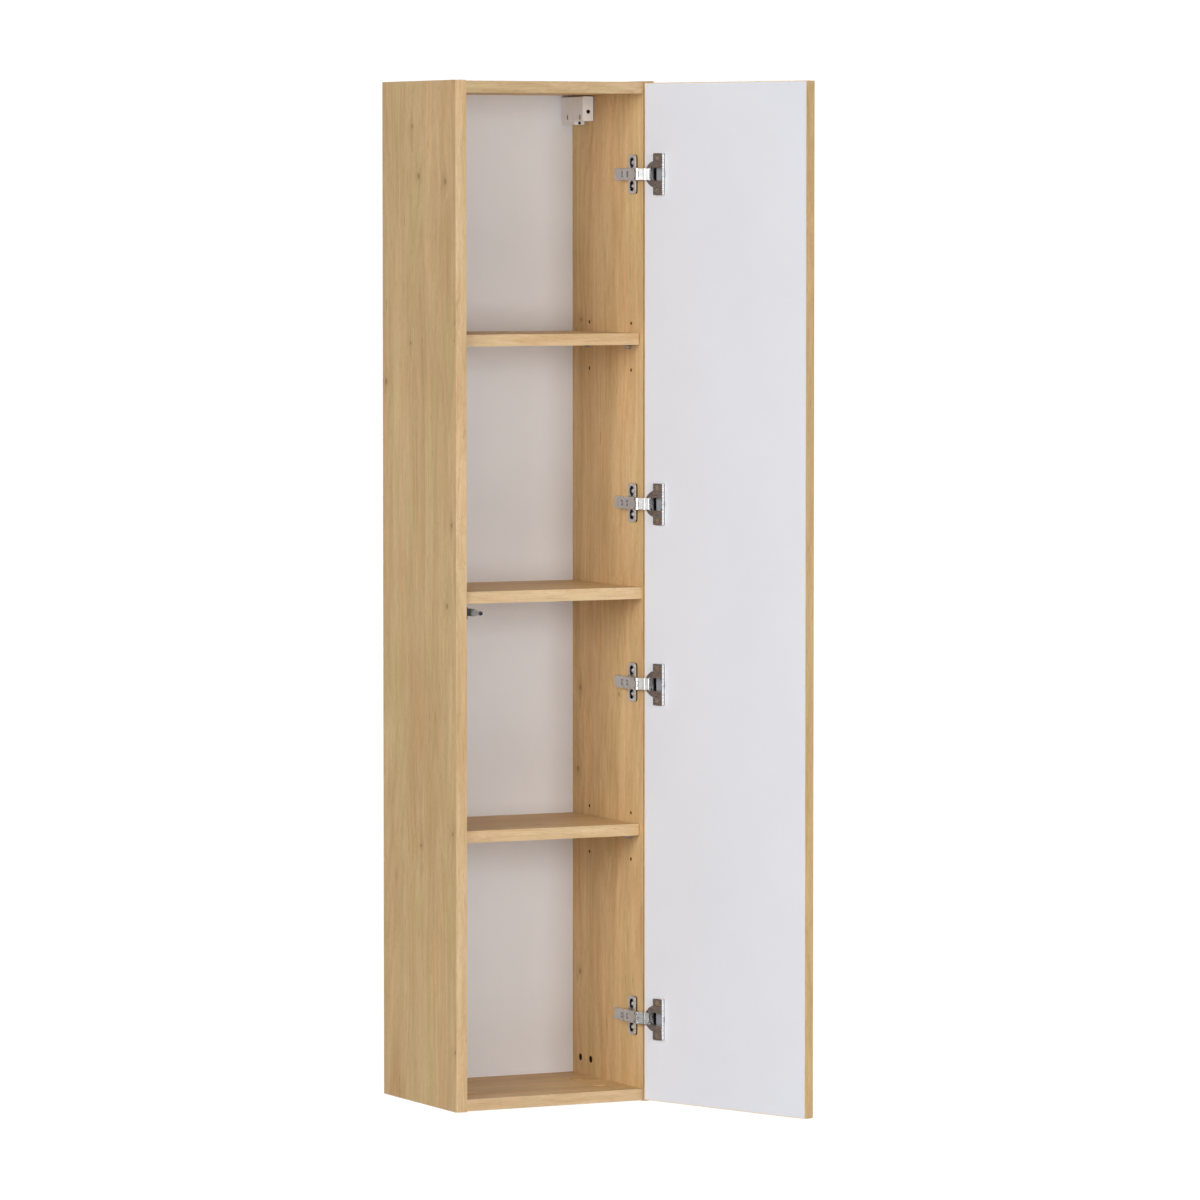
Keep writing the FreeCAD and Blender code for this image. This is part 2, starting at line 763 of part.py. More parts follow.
def hinge_link(z):
    pivot = cup_pivot(True)
    bend = link_bend()
    bead = ARM_PIVOT + (bend - ARM_PIVOT) * LINK_BEAD_PLACE
    half = LINK_HIGH / 2
    tongue_half = LINK_TONGUE_HIGH / 2
    solids = [strip(ARM_PIVOT, bend, LINK_THICK, z, LINK_HIGH)]
    solids.append(rod_z(ARM_PIVOT.x, ARM_PIVOT.y, z - half, z + half, LINK_EAR_R))
    solids.append(rod_z(bead.x, bead.y, z - half, z + half, LINK_BEAD_R))
    solids.append(rod_z(bend.x, bend.y, z - half, z + half, LINK_THICK / 2))
    solids.append(strip(bend, pivot, LINK_TONGUE_THICK, z, LINK_TONGUE_HIGH))
    solids.append(rod_z(pivot.x, pivot.y, z - tongue_half, z + tongue_half, LINK_KNUCKLE_R))
    notch = LINK_NOTCH_HIGH / 2
    cuts = [rod_z(ARM_PIVOT.x, ARM_PIVOT.y, z - notch, z + notch, LINK_NOTCH_R)]
    cuts.append(rod_z(ARM_PIVOT.x, ARM_PIVOT.y, z - half, z + half, ARM_PIN_R + RUNNING))
    cuts.append(rod_z(pivot.x, pivot.y, z - half, z + half, CUP_PIN_R + RUNNING))
    return without(fused(solids), cuts)


# Door and what is fixed to it, drawn shut and then swung open

def door_left():
    return DOOR_SIDE_GAP


def door_right():
    return WIDTH - DOOR_SIDE_GAP


def cup_x():
    return door_right() - CUP_FROM_EDGE


def cup_hole(z):
    return rod_y(cup_x(), -DOOR_GAP - CUP_HOLE_DEPTH, -DOOR_GAP, z, CUP_HOLE_R)


def cup_screw(z):
    # screw through a cup's wing, driven towards the door's outer face
    x = door_right() - CUP_SCREW_FROM_EDGE
    top = -DOOR_GAP + WING_PROUD
    head_end = top - CUP_SCREW_HEAD_THICK
    place = V(x, top, z)
    head = Part.makeCone(CUP_SCREW_HEAD_R, CUP_SCREW_R, CUP_SCREW_HEAD_THICK, place, V(0, -1, 0))
    shank = rod_y(x, top - CUP_SCREW_LENGTH, head_end, z, CUP_SCREW_R)
    return head.fuse(shank)


def cup_screw_heights(z):
    return (z - CUP_SCREW_SPREAD / 2, z + CUP_SCREW_SPREAD / 2)


def cup_screws():
    screws = []
    x = door_right() - CUP_SCREW_FROM_EDGE
    top = -DOOR_GAP + WING_PROUD
    half = CROSS_LENGTH / 2
    thin = CROSS_WIDTH / 2
    for hinge_z in HINGE_HEIGHTS:
        for z in cup_screw_heights(hinge_z):
            bar_x = box(x - half, x + half, top - CROSS_DEPTH, top, z - thin, z + thin)
            bar_z = box(x - thin, x + thin, top - CROSS_DEPTH, top, z - half, z + half)
            screws.append(without(cup_screw(z), [bar_x, bar_z]))
    return screws


def door_panel():
    low = DOOR_END_GAP + BAND
    high = HEIGHT - DOOR_END_GAP - BAND
    front = -DOOR_GAP - DOOR_THICK + FACE_THICK
    board = box(door_left() + BAND, door_right() - BAND, front, -DOOR_GAP, low, high)
    cuts = []
    for hinge_z in HINGE_HEIGHTS:
        cuts.append(cup_hole(hinge_z))
        for z in cup_screw_heights(hinge_z):
            cuts.append(cup_screw(z))
    return without(board, cuts)


def door_face():
    low = DOOR_END_GAP + BAND
    front = -DOOR_GAP - DOOR_THICK
    left = door_left() + BAND
    right = door_right() - BAND
    return box(left, right, front, front + FACE_THICK, low, HEIGHT - low)


def door_bands():
    front = -DOOR_GAP - DOOR_THICK
    low = DOOR_END_GAP
    high = HEIGHT - DOOR_END_GAP
    left = door_left()
    right = door_right()
    bands = []
    for x in (left, right - BAND):
        bands.append(box(x, x + BAND, front, -DOOR_GAP, low, high))
    for z in (low, high - BAND):
        bands.append(box(left + BAND, right - BAND, front, -DOOR_GAP, z, z + BAND))
    return bands


def cup_flange(z):
    inner = -DOOR_GAP
    left = door_right() - WING_FAR
    right = door_right() - WING_NEAR
    half = WING_HIGH / 2
    wings = box(left, right, inner, inner + WING_PROUD, z - half, z + half)
    wings = rounded(wings, V(0, 1, 0), WING_ROUND)
    return wings.fuse(rod_y(cup_x(), inner, inner + FLANGE_PROUD, z, FLANGE_R))


def cup_mouth(z):
    # slot between the flat cheeks, from the cup's floor out through its flange
    floor = -DOOR_GAP - CUP_DEPTH + CUP_WALL
    top = -DOOR_GAP + WING_PROUD
    round_room = rod_y(cup_x(), floor, top, z, CUP_R - CUP_WALL)
    low = z - CHEEK_FROM_MIDDLE
    high = z + CHEEK_FROM_MIDDLE
    return round_room.common(box(cup_x() - CUP_R, cup_x() + CUP_R, floor, top, low, high))


def hinge_cup(z):
    pot = rod_y(cup_x(), -DOOR_GAP - CUP_DEPTH, -DOOR_GAP, z, CUP_R)
    pivot = cup_pivot(False)
    pin = rod_z(pivot.x, pivot.y, z - CUP_PIN_HALF, z + CUP_PIN_HALF, CUP_PIN_R)
    cuts = [cup_mouth(z), pin] + [cup_screw(screw_z) for screw_z in cup_screw_heights(z)]
    return without(fused([cup_flange(z), pot]), cuts)


def cup_insert(z):
    # moulded block in the far half of the cup, with a low step that runs on under the link
    floor = -DOOR_GAP - CUP_DEPTH + CUP_WALL
    top = -DOOR_GAP - INSERT_SUNK
    room = rod_y(cup_x(), floor, top, z, CUP_R - CUP_WALL)
    left = cup_x() - CUP_R
    low = z - INSERT_HALF
    high = z + INSERT_HALF
    block = box(left, door_right() - INSERT_NEAR, floor, top, low, high)
    step_top = -DOOR_GAP - INSERT_STEP_SUNK
    step = box(left, door_right() - INSERT_STEP_NEAR, floor, step_top, low, high)
    return room.common(block.fuse(step))


def cup_pin(z):
    pivot = cup_pivot(False)
    return rod_z(pivot.x, pivot.y, z - CUP_PIN_HALF, z + CUP_PIN_HALF, CUP_PIN_R)


# Push-to-open latch

def latch_x():
    return INNER_LEFT + LATCH_OFF_WALL


def latch_screw_offsets():
    return (-LATCH_SCREW_SPREAD / 2, LATCH_SCREW_SPREAD / 2)


def latch_screw(dz):
    # screw through the adapter plate, driven towards -X into the left side panel
    face = INNER_LEFT + ADAPTER_THICK + LATCH_SCREW_HEAD_THICK
    z = LATCH_Z + dz
    head_end = INNER_LEFT + ADAPTER_THICK
    head = rod_x(head_end, face, LATCH_SCREW_Y, z, LATCH_SCREW_HEAD_R)
    shank = rod_x(face - LATCH_SCREW_LENGTH, head_end, LATCH_SCREW_Y, z, LATCH_SCREW_R)
    return head.fuse(shank)


def latch_adapter():
    half = ADAPTER_HIGH / 2
    face = INNER_LEFT + ADAPTER_THICK
    plate = box(INNER_LEFT, face, ADAPTER_FRONT, ADAPTER_REAR, LATCH_Z - half, LATCH_Z + half)
    thin = SADDLE_HIGH / 2
    low = LATCH_Z - thin
    saddle = box(face, latch_x(), SADDLE_FRONT, SADDLE_REAR, low, LATCH_Z + thin)
    seat = rod_y(latch_x(), LATCH_HOUSING_FRONT, LATCH_HOUSING_REAR, LATCH_Z, LATCH_HOUSING_R)
    screws = [latch_screw(dz) for dz in latch_screw_offsets()]
    return without(fused([plate, saddle]), [seat] + screws)


def latch_housing():
    x = latch_x()
    front = LATCH_HOUSING_FRONT
    shoulder = front + LATCH_NOSE_LENGTH
    tube = rod_y(x, shoulder, LATCH_HOUSING_REAR, LATCH_Z, LATCH_HOUSING_R)
    place = V(x, front, LATCH_Z)
    nose = Part.makeCone(LATCH_NOSE_R, LATCH_HOUSING_R, LATCH_NOSE_LENGTH, place, V(0, 1, 0))
    bore = rod_y(x, front, LATCH_BORE_REAR, LATCH_Z, LATCH_BORE_R)
    return fused([tube, nose]).cut(bore)


def latch_plunger():
    x = latch_x()
    tip_rear = -PLUNGER_REACH + TIP_LENGTH
    rod = rod_y(x, tip_rear, PLUNGER_REAR, LATCH_Z, PLUNGER_R)
    socket = rod_y(x, tip_rear, tip_rear + TIP_STEM_LENGTH, LATCH_Z, TIP_STEM_R)
    return rod.cut(socket)


def latch_tip():
    x = latch_x()
    rear = -PLUNGER_REACH + TIP_LENGTH
    pad = rod_y(x, -PLUNGER_REACH, rear, LATCH_Z, TIP_R)
    rims = [edge for edge in pad.Edges if abs(edge.BoundBox.YMin + PLUNGER_REACH) < RUNNING]
    rims = [edge for edge in rims if edge.BoundBox.YLength < RUNNING]
    stem = rod_y(x, rear, rear + TIP_STEM_LENGTH, LATCH_Z, TIP_STEM_R)
    return pad.makeFillet(TIP_R / 2, rims).fuse(stem)


def latch_spring():
    start = PLUNGER_REAR + SPRING_PLAY
    length = LATCH_BORE_REAR - start - SPRING_PLAY
    coil = Part.makeHelix(SPRING_PITCH, length, SPRING_R)
    section = Part.Wire([Part.makeCircle(SPRING_WIRE_R, V(SPRING_R, 0, 0), V(0, 1, 0))])
    wire = Part.Wire(coil).makePipeShell([section], True, True)
    wire.rotate(V(0, 0, 0), V(1, 0, 0), -90)
    wire.translate(V(latch_x(), start, LATCH_Z))
    return wire


# Nodes

def on_each_hinge(maker):
    return [maker(z) for z in HINGE_HEIGHTS]


def carcass_nodes():
    low, high = shelf_levels()
    return {
        "side_panel_left": [side_panel_left()],
        "side_panel_right": [side_panel_right()],
        "bottom_panel": [bottom_panel()],
        "top_panel": [top_panel()],
        "middle_shelf": [middle_shelf()],
        "upper_shelf": [loose_shelf(high)],
        "lower_shelf": [loose_shelf(low)],
        "back_panel": [back_panel()],
        "side_edge_bands": side_bands(),
        "end_edge_bands": end_bands(),
        "shelf_edge_bands": shelf_bands(),
        "cam_locks": cam_locks(),
        "cam_caps": cam_caps(),
        "cam_bolts": cam_bolts(),
        "dowels": dowels(),
        "upper_shelf_pins": shelf_pins(high),
        "lower_shelf_pins": shelf_pins(low),
    }


def hanger_nodes():
    return {
        "hanger_body_right": [hanger_body()],
        "hanger_body_left": [mirrored(hanger_body())],
        "hanger_hook_right": [hanger_hook()],
        "hanger_hook_left": [mirrored(hanger_hook())],
        "hanger_adjusters": both_sides([hanger_adjuster()]),
    }


def hinge_nodes():
    return {
        "hinge_plates": on_each_hinge(mounting_plate),
        "hinge_plate_screws": plate_screws(),
        "hinge_arms": on_each_hinge(hinge_arm),
        "hinge_arm_screws": arm_screws(),
        "hinge_arm_pins": on_each_hinge(arm_pin),
        "hinge_links": on_each_hinge(hinge_link),
    }


def door_nodes():
    shut = {
        "door_panel": [door_panel()],
        "door_face": [door_face()],
        "door_edge_bands": door_bands(),
        "hinge_cups": on_each_hinge(hinge_cup),
        "hinge_cup_pins": on_each_hinge(cup_pin),
        "hinge_cup_inserts": on_each_hinge(cup_insert),
        "hinge_cup_screws": cup_screws(),
    }
    return {name: [swung_open(shape) for shape in shapes] for name, shapes in shut.items()}


def latch_nodes():
    return {
        "latch_adapter": [latch_adapter()],
        "latch_screws": [latch_screw(dz) for dz in latch_screw_offsets()],
        "latch_housing": [latch_housing()],
        "latch_plunger": [latch_plunger()],
        "latch_tip": [latch_tip()],
        "latch_spring": [latch_spring()],
    }


def write_node(name, shapes):
    shape = shapes[0] if len(shapes) == 1 else Part.makeCompound(shapes)
    placed = shape.copy()
    placed.translate(V(-ORIGIN.x, -ORIGIN.y, -ORIGIN.z))
    placed.exportStep("parts/" + name + ".step")


def main():
    os.makedirs("parts", exist_ok=True)
    for group in (carcass_nodes, hanger_nodes, hinge_nodes, door_nodes, latch_nodes):
        for name, shapes in group().items():
            write_node(name, shapes)


main()
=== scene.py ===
import json
import math
import bpy
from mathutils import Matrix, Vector


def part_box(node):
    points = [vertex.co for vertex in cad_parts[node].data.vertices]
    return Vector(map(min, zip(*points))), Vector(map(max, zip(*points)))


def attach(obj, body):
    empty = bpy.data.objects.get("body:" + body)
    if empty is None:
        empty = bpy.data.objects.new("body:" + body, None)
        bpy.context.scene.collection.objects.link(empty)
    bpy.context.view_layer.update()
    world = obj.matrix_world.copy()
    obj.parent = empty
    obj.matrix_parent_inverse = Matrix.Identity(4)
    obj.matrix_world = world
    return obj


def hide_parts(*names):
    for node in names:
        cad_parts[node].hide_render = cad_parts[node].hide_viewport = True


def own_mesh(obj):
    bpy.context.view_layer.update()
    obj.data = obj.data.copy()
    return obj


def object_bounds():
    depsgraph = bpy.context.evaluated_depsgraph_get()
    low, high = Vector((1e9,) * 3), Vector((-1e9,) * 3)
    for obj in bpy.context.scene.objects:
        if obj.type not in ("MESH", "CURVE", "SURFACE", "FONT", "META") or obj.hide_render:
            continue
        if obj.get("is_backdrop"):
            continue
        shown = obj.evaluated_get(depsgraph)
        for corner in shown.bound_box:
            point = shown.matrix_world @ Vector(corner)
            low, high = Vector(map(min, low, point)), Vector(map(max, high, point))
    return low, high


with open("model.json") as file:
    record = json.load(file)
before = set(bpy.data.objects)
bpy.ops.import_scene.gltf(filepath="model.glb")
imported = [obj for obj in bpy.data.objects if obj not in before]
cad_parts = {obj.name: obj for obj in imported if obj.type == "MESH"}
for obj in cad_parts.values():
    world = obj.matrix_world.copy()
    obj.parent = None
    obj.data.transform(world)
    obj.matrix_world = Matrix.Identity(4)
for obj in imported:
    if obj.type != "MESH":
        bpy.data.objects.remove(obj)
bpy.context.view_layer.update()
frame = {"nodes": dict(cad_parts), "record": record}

MM = 0.001
JOINTS = {joint["name"]: joint for joint in frame["record"]["behaviour"]["joints"]}
DOOR_OPEN = math.radians(109.73)


# Colours

def linear(red, green, blue):
    """A colour given as 8-bit display values."""
    def channel(value):
        value = value / 255
        return value / 12.92 if value <= 0.04045 else ((value + 0.055) / 1.055) ** 2.4
    return (channel(red), channel(green), channel(blue), 1.0)


def shade(colour, factor):
    return [channel * factor for channel in colour[:3]] + [1.0]


OAK_DARK = linear(192, 155, 105)
OAK_PALE = linear(231, 200, 151)
TRIM_DARK = linear(194, 159, 111)
TRIM_PALE = linear(236, 208, 167)
# Chipboard darkened with painted shade, for the walls of drillings
CHIPBOARD_IN_SHADE = linear(54, 40, 26)
BACK_WHITE = linear(238, 240, 246)
DOOR_WHITE = linear(230, 231, 237)
HANGER_WHITE = linear(252, 252, 254)
INSERT_GREY = linear(158, 160, 165)
LATCH_GREY = linear(156, 156, 158)
ADAPTER_BLACK = linear(34, 33, 32)
RUBBER_BLACK = linear(22, 21, 20)
PLATE_STEEL = linear(226, 225, 224)
CUP_STEEL = linear(244, 244, 244)
ARM_STEEL = linear(213, 212, 210)
# Painted shade: near black steel for the hanger adjusters
ADJUSTER_SHADE_STEEL = linear(44, 42, 40)
NICKEL = linear(240, 239, 238)
HINGE_ZINC = linear(214, 214, 214)
PALE_ZINC = linear(250, 250, 250)
FITTING_ZINC = linear(196, 196, 197)

# Tints that multiply the oak's colour, and colours used as they are
ROSY = (1.03, 0.975, 0.94, 1.0)
MOSSY = (0.985, 1.01, 0.94, 1.0)
DEEP = (0.50, 0.40, 0.30, 1.0)
# Painted shade for hollows, near black
SHADE_BLACK = (0.012, 0.011, 0.010, 1.0)
# A painted dark reflection and a painted highlight for metal
PAINTED_DARK_REFLECTION = (0.34, 0.33, 0.35, 1.0)
PAINTED_HIGHLIGHT = (0.93, 0.93, 0.93, 1.0)
FLOOR_DIM = (0.86, 0.86, 0.86, 1.0)
FLOOR_PALE = (0.90, 0.90, 0.90, 1.0)
WHITE = (1.0, 1.0, 1.0, 1.0)


# Layers of noise: scale on each axis per metre, with Z along the grain, then detail and roughness

SWAY = ((4.0, 4.0, 1.8), 2.0, 0.5)
CLOUDS = ((11.0, 11.0, 3.2), 2.0, 0.5)
BANDS = ((48.0, 48.0, 1.7), 2.0, 0.5)
STREAKS = ((210.0, 210.0, 11.0), 4.0, 0.6)
FIBRES = ((620.0, 620.0, 34.0), 4.0, 0.65)
PORES = ((900.0, 900.0, 90.0), 2.0, 0.5)
FLECKS = ((240.0, 240.0, 30.0), 1.0, 0.4)
HUES = ((30.0, 30.0, 4.0), 2.0, 0.5)
CONTOURS = ((15.0, 15.0, 1.1), 1.0, 0.4)
FOIL_CLOUDS = ((7.0, 7.0, 7.0), 3.0, 0.5)
FOIL_PEEL = ((900.0, 900.0, 900.0), 2.0, 0.5)
FOIL_SCUFFS = ((160.0, 160.0, 9.0), 3.0, 0.5)
ROLLED_LINES = ((60.0, 60.0, 900.0), 4.0, 0.6)
METAL_MARKS = ((110.0, 110.0, 110.0), 4.0, 0.6)
SPARK_GRAIN = ((1800.0, 1800.0, 1800.0), 2.0, 0.5)
PLASTIC_CLOUDS = ((60.0, 60.0, 60.0), 2.0, 0.5)
FLOOR_CLOUDS = ((1.5, 1.5, 1.5), 3.0, 0.5)

# How much each layer adds to the oak's tone
CLOUD_WEIGHT = 0.34
BAND_WEIGHT = 0.26
STREAK_WEIGHT = 0.32
FIBRE_WEIGHT = 0.34
RING_WEIGHT = 0.05
RINGS_PER_CONTOUR = 95.0
PORE_DEPTH = 0.30
FLECK_DEPTH = 0.55
WANDER = 0.05
KNOT_PUSH = 0.007

# Pin knots: one cell of the grid across and along the grain holds one knot or none
KNOT_GRID = (9.0, 7.2, 0.0)
KNOT_SCATTER = 0.8
KNOT_RARITY = 0.62

# Runs: where a value starts and ends, then what it is mapped to there, which is 0 and 1 if left out
TONE_RUN = (0.43, 0.80)
RING_RUN = (-0.6, 1.0)
ROSY_RUN = (0.52, 0.66)
MOSSY_RUN = (0.48, 0.34)
PORE_RUN = (0.58, 0.70)
FLECK_RUN = (0.74, 0.80)
OAK_ROUGH_RUN = (0.3, 0.7, 0.47, 0.57)
KNOT_SIZE_RUN = (0.0, 1.0, 1.6, 0.8)
KNOT_HEART_RUN = (0.016, 0.042, 0.9, 0.0)
KNOT_RING_RUN = (0.03, 0.13, 0.25, 0.0)
KNOT_TAIL_WIDTH_RUN = (0.0, 0.035, 0.34, 0.0)
KNOT_TAIL_LENGTH_RUN = (0.05, 0.32, 1.0, 0.0)
KNOT_HALO_RUN = (0.0, 0.30, 1.0, 0.0)
NOISE_RUN = (0.3, 0.7)
SCUFF_RUN = (0.2, 0.6, 0.85, 1.0)
MARK_RUN = (0.35, 0.65)
FACING_RUN = (0.9, 0.98)
POLISH_RUN = (0.95, 0.985, 0.0, 0.5)

# How far the darker half of a finish's mottle is toned down
FOIL_MOTTLE = 0.97
METAL_MOTTLE = 0.86
PLASTIC_MOTTLE = 0.94

# Fine relief: strength and depth, with the pores cut into the fibres
OAK_RELIEF = (0.22, 0.15 * MM)
FOIL_RELIEF = (0.12, 0.06 * MM)
PLASTIC_RELIEF = (0.2, 0.05 * MM)
METAL_RELIEF_DEPTH = 0.04 * MM
FIBRE_RISE = 0.6
PORE_RISE = -0.8

# How metallic the painted dark reflection on a part's broad face and the painted highlight on its rim
# are
DARK_REFLECTION_METALLIC = 0.8
HIGHLIGHT_METALLIC = 0.3

# Widths of softened edges
BOARD_EDGE = 0.4 * MM
CUP_EDGE = 0.3 * MM
STEEL_EDGE = 0.25 * MM
THIN_EDGE = 0.2 * MM
HOOK_EDGE = 0.15 * MM
FINE_EDGE = 0.1 * MM

# Painted shade in hollows, as distances from the surface they open from. SKIN keeps a mask off the outer
# faces
SKIN = 0.5 * MM
HOLLOW_FADE = 0.3 * MM
PLATE_POCKET = 1.6 * MM
UNDER_ARM_NEAR = 10.9 * MM
UNDER_ARM_FAR = 13.0 * MM
CUP_FOOT = 0.9 * MM
CUP_DEPTHS = (9.8 * MM, 12.0 * MM)
CUP_SHADE = (6.3 * MM, 16.0 * MM)
HANGER_LIP_DROP = 5.0 * MM
HANGER_LIP_SETBACK = 27.0 * MM
HANGER_LIP_SIDE = 1.0 * MM

# Room: glow of the world on surfaces, of the room in the metal, of the backdrop and of the floor
GLOW = 0.12
SHINE_LOW = 0.02
SHINE_HIGH = 1.37
SHINE_START = -0.127
SHINE_END = -0.02
BACKDROP = 1.05
FLOOR_GLOW = 0.62
FLOOR_SIDE = 7.0
FLOOR_DROP = 0.85

# Lights: name, azimuth, elevation and power. Azimuth 0 is in front, and negative is to the left
LIGHTS = (
    ("key", -66, 15, 143.0),
    ("front", 0, 4, 104.0),
    ("near_left", -38, 10, 45.0),
    ("far_right", 108, 12, 55.0),
    ("rear", 158, 14, 90.0),
)
UNMIRRORED = ("key", "near_left")
LIGHT_AWAY = 5.5
LIGHT_SIDE = 2.4

# Camera, solved from the long straight edges in the photograph
SENSOR_MM = 36.0
LENS_MM = 212.52
CAMERA_PLACE = (-4.2669, -8.8723, -0.1162)
CAMERA_DOWN = 3.266
CAMERA_TURN = -26.648


# Node helpers

class Graph:
    """A material's node tree with short ways to add and join nodes."""

    def __init__(self, name):
        self.material = bpy.data.materials.new(name)
        self.material.use_nodes = True
        self.tree = self.material.node_tree
        self.tree.nodes.clear()
        self.shader = self.node("ShaderNodeBsdfPrincipled")
        output = self.node("ShaderNodeOutputMaterial")
        self.join(self.shader.outputs["BSDF"], output.inputs["Surface"])

    def node(self, kind, **settings):
        made = self.tree.nodes.new(kind)
        for name, value in settings.items():
            setattr(made, name, value)
        return made

    def join(self, source, target):
        self.tree.links.new(source, target)

    def fill(self, socket, value):
        if isinstance(value, bpy.types.NodeSocket):
            self.join(value, socket)
        else:
            socket.default_value = value

    def place(self):
        """The place on the object, in metres of the row frame."""
        return self.node("ShaderNodeTexCoord").outputs["Object"]

    def split(self, vector):
        made = self.node("ShaderNodeSeparateXYZ")
        self.join(vector, made.inputs["Vector"])
        return made.outputs

    def combine(self, **parts):
        made = self.node("ShaderNodeCombineXYZ")
        for axis, value in parts.items():
            self.join(value, made.inputs[axis])
        return made.outputs["Vector"]

    def math(self, operation, first, second=0.0):
        made = self.node("ShaderNodeMath", operation=operation)
        self.fill(made.inputs[0], first)
        self.fill(made.inputs[1], second)
        return made.outputs[0]

    def times(self, first, second):
        return self.math("MULTIPLY", first, second)

    def vector(self, operation, first, second):
        made = self.node("ShaderNodeVectorMath", operation=operation)
        self.fill(made.inputs[0], first)
        self.fill(made.inputs[1], second)
        return made.outputs[0]

    def noise(self, place, layer):
        scale, detail, roughness = layer
        made = self.node("ShaderNodeTexNoise")
        self.join(self.vector("MULTIPLY", place, scale), made.inputs["Vector"])
        made.inputs["Scale"].default_value = 1.0
        made.inputs["Detail"].default_value = detail
        made.inputs["Roughness"].default_value = roughness
        return made.outputs["Fac"]

    def span(self, value, low, high, to_low=0.0, to_high=1.0):
        """The value's run from low to high, mapped to another run and held at its ends."""
        made = self.node("ShaderNodeMapRange", clamp=True)
        self.fill(made.inputs["Value"], value)
        made.inputs["From Min"].default_value = low
        made.inputs["From Max"].default_value = high
        made.inputs["To Min"].default_value = to_low
        made.inputs["To Max"].default_value = to_high
        return made.outputs["Result"]

    def blend(self, amount, first, second, mode="MIX"):
        made = self.node("ShaderNodeMix", data_type="RGBA", blend_type=mode)
        self.fill(made.inputs[0], amount)
        self.fill(made.inputs[6], first)
        self.fill(made.inputs[7], second)
        return made.outputs[2]

    def bump(self, height, strength, distance):
        made = self.node("ShaderNodeBump")
        made.inputs["Strength"].default_value = strength
        made.inputs["Distance"].default_value = distance
        self.join(height, made.inputs["Height"])
        self.join(made.outputs["Normal"], self.shader.inputs["Normal"])

    def set(self, **values):
        for name, value in values.items():
            self.fill(self.shader.inputs[name.replace("_", " ")], value)


def inside(graph, low, high):
    """1 between two opposite corners of a box and 0 outside it."""
    place = graph.split(graph.place())
    mask = 1.0
    for axis, start, end in zip("XYZ", low, high):
        above = graph.math("GREATER_THAN", place[axis], start)
        below = graph.math("LESS_THAN", place[axis], end)
        mask = graph.times(graph.times(above, below), mask)
    return mask


def inside_board(graph, node):
    """Marks the walls of a board's drillings, which lie inside its own box."""
    low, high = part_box(node)
    return inside(graph, [c + SKIN for c in low], [c - SKIN for c in high])


def inside_hanger(graph, node):
    """Marks the holes of a hanger's body and of the lip below it, and its face beside the gap at the
    wall, for painted shade.
    """
    low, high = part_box(node)
    edge = Vector((SKIN, SKIN, SKIN))
    body = inside(graph, low + edge + Vector((0, 0, HANGER_LIP_DROP)), high - edge)
    lip_start = low + edge + Vector((HANGER_LIP_SIDE, HANGER_LIP_SETBACK, 0))
    lip_end = Vector((high.x, high.y, low.z + HANGER_LIP_DROP)) - edge
    return graph.math("MAXIMUM", body, inside(graph, lip_start, lip_end))


def reach(graph, source, direction):
    """How far a place or a normal reaches along a direction."""
    dot = graph.node("ShaderNodeVectorMath", operation="DOT_PRODUCT")
    graph.join(graph.node("ShaderNodeTexCoord").outputs[source], dot.inputs[0])
    dot.inputs[1].default_value = direction
    return dot.outputs["Value"]


def in_bands(graph, bands):
    """1 where a place lies between start and end along every band's direction."""
    mask = 1.0
    for direction, start, end in bands:
        along = reach(graph, "Object", direction)
        after = graph.span(along, start - HOLLOW_FADE, start)
        before = graph.span(along, end, end + HOLLOW_FADE, 1.0, 0.0)
        mask = graph.times(mask, graph.times(after, before))
    return mask


# Oak

def grain_place(graph, grain, turn, shift):
    """Coordinates in metres whose Z runs along the grain."""
    place = graph.place()
    if turn:
        turned = graph.node("ShaderNodeVectorRotate", rotation_type="Z_AXIS")
        graph.join(place, turned.inputs["Vector"])
        turned.inputs["Angle"].default_value = -turn
        place = turned.outputs["Vector"]
    if grain == "X":
        parts = graph.split(place)
        place = graph.combine(X=parts["Y"], Y=parts["Z"], Z=parts["X"])
    return graph.vector("ADD", place, shift)


def knots(graph, place, across):
    """A few pin knots scattered over the board: their dark hearts, and the halo round each."""
    parts = graph.split(place)
    flat = graph.vector("MULTIPLY", graph.combine(X=parts[across], Y=parts["Z"]), KNOT_GRID)
    cells = graph.node("ShaderNodeTexVoronoi", feature="F1", voronoi_dimensions="2D")
    graph.join(flat, cells.inputs["Vector"])
    cells.inputs["Scale"].default_value = 1.0
    cells.inputs["Randomness"].default_value = KNOT_SCATTER
    away = graph.split(graph.vector("SUBTRACT", flat, cells.outputs["Position"]))
    draw = graph.node("ShaderNodeSeparateColor")
    graph.join(cells.outputs["Color"], draw.inputs["Color"])
    present = graph.math("GREATER_THAN", draw.outputs["Red"], KNOT_RARITY)
    size = graph.span(draw.outputs["Green"], *KNOT_SIZE_RUN)
    distance = graph.times(cells.outputs["Distance"], size)
    heart = graph.span(distance, *KNOT_HEART_RUN)
    ring = graph.span(distance, *KNOT_RING_RUN)
    thin = graph.span(graph.math("ABSOLUTE", away["X"]), *KNOT_TAIL_WIDTH_RUN)
    long = graph.span(graph.math("ABSOLUTE", away["Y"]), *KNOT_TAIL_LENGTH_RUN)
    tail = graph.times(thin, long)
    dark = graph.math("MAXIMUM", heart, graph.math("MAXIMUM", tail, ring))
    halo = graph.span(cells.outputs["Distance"], *KNOT_HALO_RUN)
    return graph.times(dark, present), graph.times(halo, present)


def lean_grain(graph, place, halo):
    """Lets the grain wander slowly and part round the knots."""
    wander = graph.times(graph.noise(place, SWAY), WANDER)
    lean = graph.math("ADD", wander, graph.times(halo, KNOT_PUSH))
    return graph.vector("ADD", place, graph.combine(X=lean, Y=lean))


